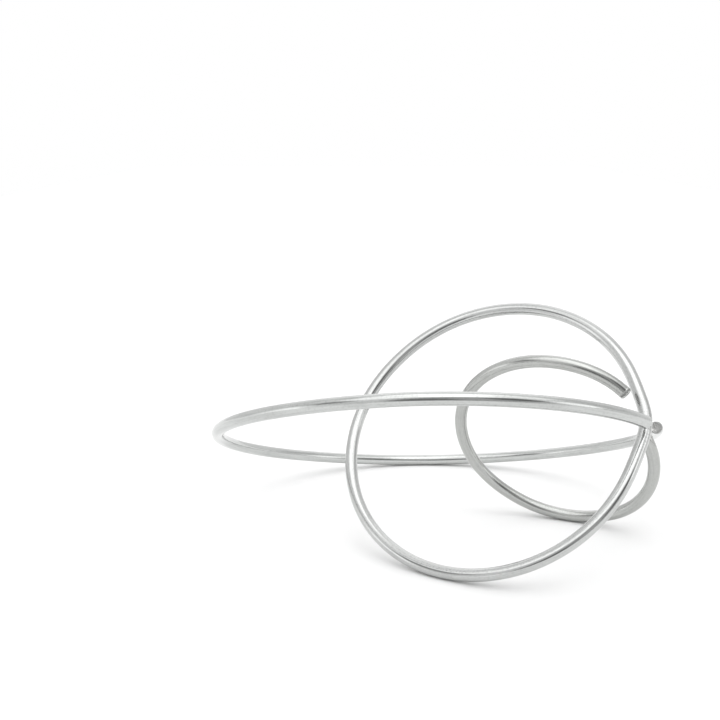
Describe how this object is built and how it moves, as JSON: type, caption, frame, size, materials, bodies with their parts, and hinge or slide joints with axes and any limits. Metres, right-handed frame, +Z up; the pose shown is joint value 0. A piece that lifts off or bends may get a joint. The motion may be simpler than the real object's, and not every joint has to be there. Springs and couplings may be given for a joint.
{
  "type": "metal ring disentanglement puzzle",
  "caption": "Disentanglement puzzle of round steel wire: one closed ring between two open rings of other sizes, all meeting at one junction, the open rings with flat cut ends.",
  "frame": {"origin": "middle of the object's outline seen from above, on the floor that the rings stand on", "axes": "+Z up from the floor, +X towards the junction where the rings meet and along the object's longest side, +Y away from the side where the closed ring touches the floor"},
  "size_m": [0.0746, 0.069, 0.0373],
  "materials": {
    "large_ring_steel": "drawn wire, softly polished",
    "medium_ring_steel": "drawn wire, polished",
    "small_ring_steel": "drawn wire, satin"
  },
  "bodies": {
    "medium_ring": {"medium_ring": "medium_ring_steel"},
    "large_ring": {"large_ring": "large_ring_steel"},
    "small_ring": {"small_ring": "small_ring_steel"}
  },
  "joints": [
    {"name": "large_ring_swing", "type": "hinge", "parent": "medium_ring", "child": "large_ring", "pos_m": [0.03002, -0.01875, 0.02215], "axis": [0.2701, 0.6242, 0.7331], "range_deg": [-34, 50]},
    {"name": "small_ring_swing", "type": "hinge", "parent": "large_ring", "child": "small_ring", "pos_m": [0.03002, -0.01875, 0.02215], "axis": [0.2701, 0.6242, 0.7331], "range_deg": [-2, 220]}
  ]
}
